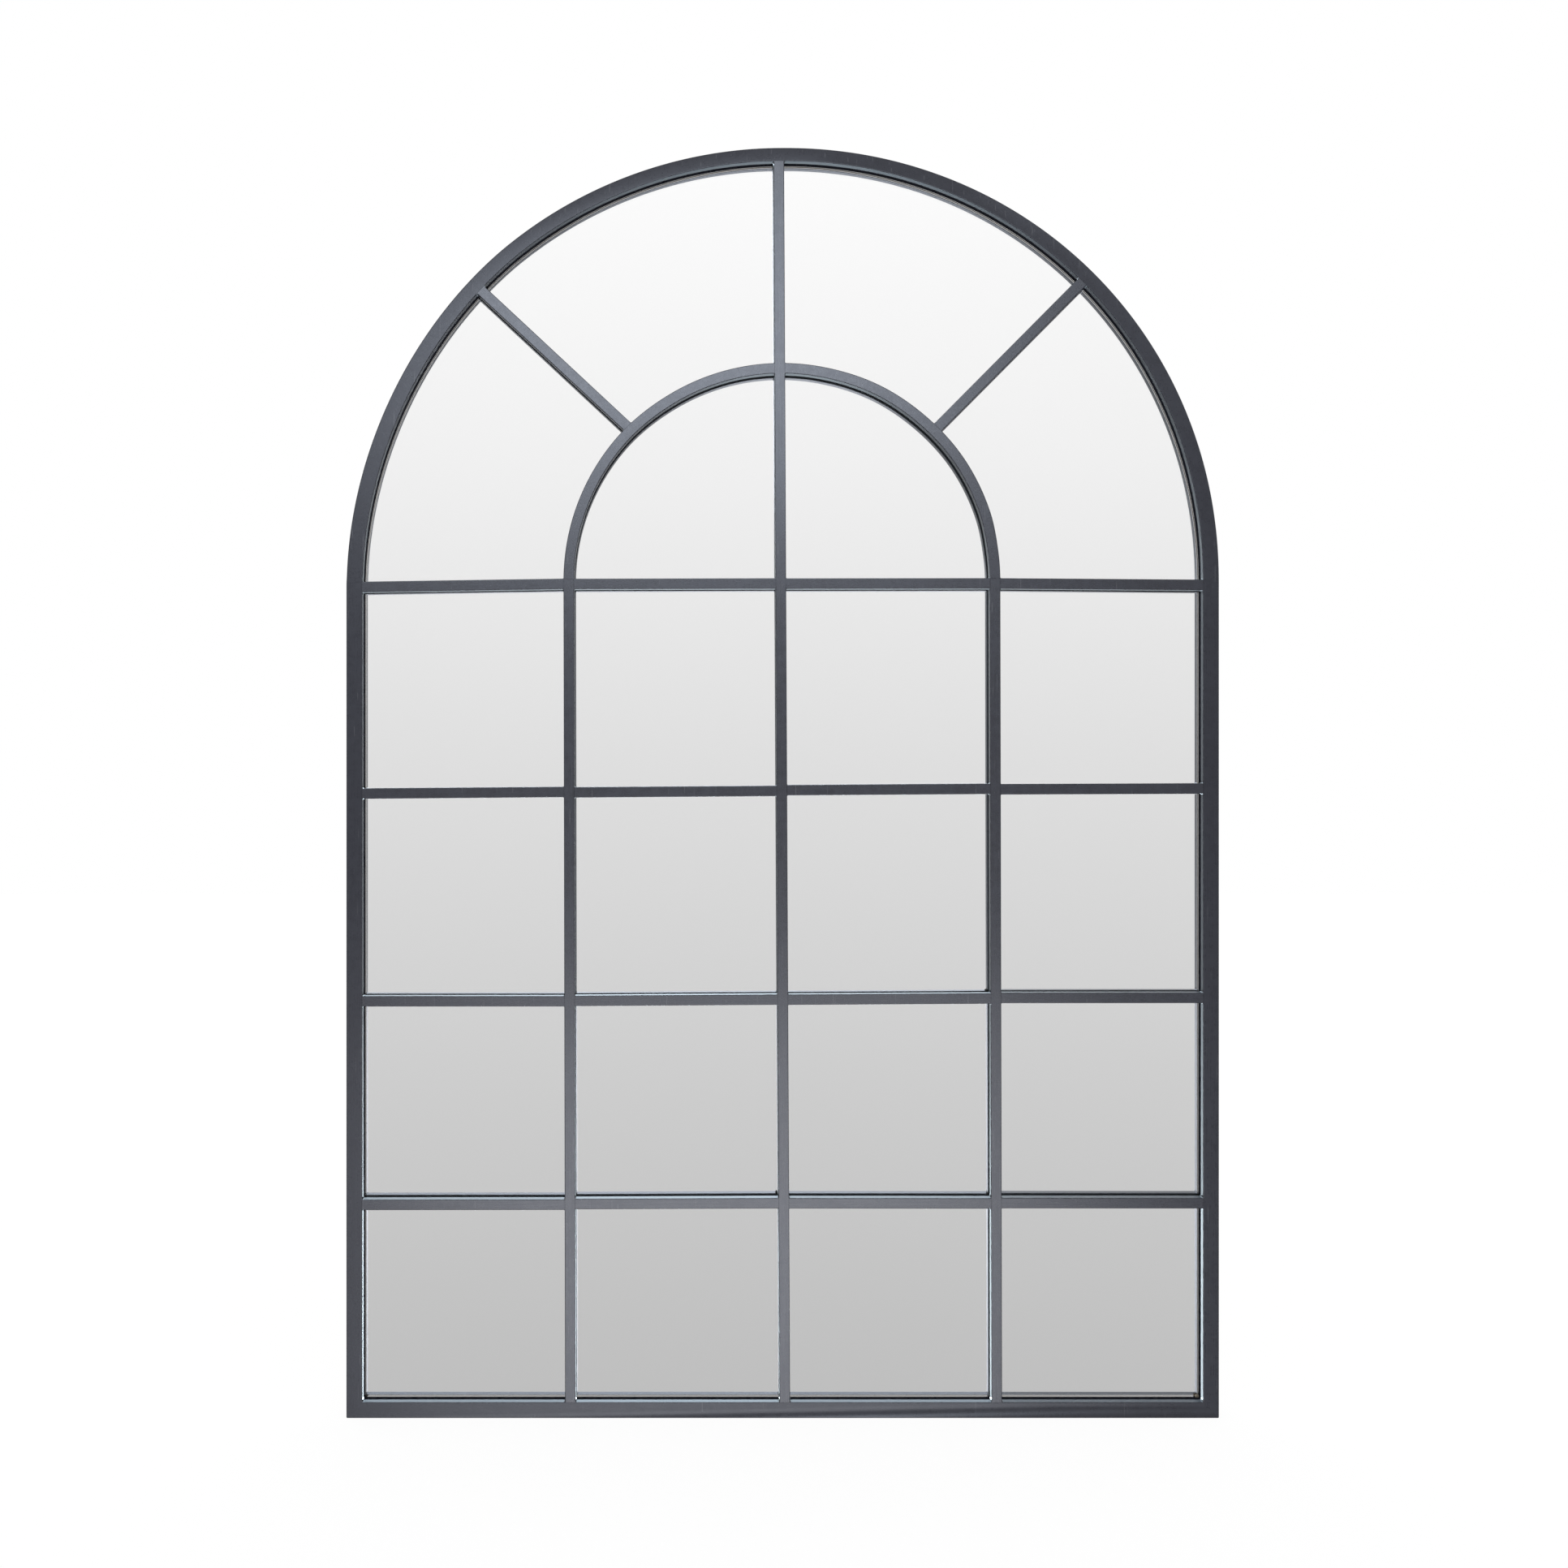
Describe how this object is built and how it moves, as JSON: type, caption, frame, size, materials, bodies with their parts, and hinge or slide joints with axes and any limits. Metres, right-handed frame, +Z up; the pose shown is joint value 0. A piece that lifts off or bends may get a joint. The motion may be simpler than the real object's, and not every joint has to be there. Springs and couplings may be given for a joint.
{
  "type": "wall mirror",
  "caption": "Arched window mirror: welded steel tube frame with a flush pane grille over one sheet of mirror, backing board and D-ring hangers.",
  "frame": {"origin": "foot of the mirror, in the middle of its width and depth", "axes": "+Z up, -Y out of the front of the mirror, +X to the right of a person who looks at the front"},
  "size_m": [1.1, 0.032, 1.602],
  "materials": {
    "frame_paint": "satin charcoal paint, brushed over ground welds",
    "silver": "silvered float glass",
    "seal": "matt black",
    "board": "raw fibreboard",
    "zinc": "zinc plated",
    "rubber": "matt"
  },
  "bodies": {
    "mirror": {"arch_tube": "frame_paint", "left_stile": "frame_paint", "right_stile": "frame_paint", "bottom_rail": "frame_paint", "left_mullion": "frame_paint", "centre_mullion": "frame_paint", "right_mullion": "frame_paint", "inner_arch_left": "frame_paint", "inner_arch_right": "frame_paint", "left_spoke": "frame_paint", "right_spoke": "frame_paint", "row_1_bar_1": "frame_paint", "row_1_bar_2": "frame_paint", "row_1_bar_3": "frame_paint", "row_1_bar_4": "frame_paint", "row_2_bar_1": "frame_paint", "row_2_bar_2": "frame_paint", "row_2_bar_3": "frame_paint", "row_2_bar_4": "frame_paint", "row_3_bar_1": "frame_paint", "row_3_bar_2": "frame_paint", "row_3_bar_3": "frame_paint", "row_3_bar_4": "frame_paint", "spring_row_bar_1": "frame_paint", "spring_row_bar_2": "frame_paint", "spring_row_bar_3": "frame_paint", "spring_row_bar_4": "frame_paint", "edge_seal": "seal", "mirror_glass": "silver", "backing_board": "board", "clip_1": "zinc", "clip_2": "zinc", "clip_3": "zinc", "clip_4": "zinc", "clip_5": "zinc", "clip_6": "zinc", "clip_7": "zinc", "clip_8": "zinc", "clip_screw_1": "zinc", "clip_screw_2": "zinc", "clip_screw_3": "zinc", "clip_screw_4": "zinc", "clip_screw_5": "zinc", "clip_screw_6": "zinc", "clip_screw_7": "zinc", "clip_screw_8": "zinc", "left_hanger_strap": "zinc", "right_hanger_strap": "zinc", "left_hanger_screw_1": "zinc", "left_hanger_screw_2": "zinc", "right_hanger_screw_1": "zinc", "right_hanger_screw_2": "zinc", "lower_left_bumper": "rubber", "lower_right_bumper": "rubber", "upper_left_bumper": "rubber", "upper_right_bumper": "rubber"},
    "left_ring": {"left_hanger_ring": "zinc"},
    "right_ring": {"right_hanger_ring": "zinc"}
  },
  "joints": [
    {"name": "left_ring_hinge", "type": "hinge", "parent": "mirror", "child": "left_ring", "pos_m": [-0.54, 0.0121, 0.965], "axis": [1, 0, 0], "range_deg": [0, 180]},
    {"name": "right_ring_hinge", "type": "hinge", "parent": "mirror", "child": "right_ring", "pos_m": [0.54, 0.0121, 0.965], "axis": [1, 0, 0], "range_deg": [0, 180]}
  ]
}
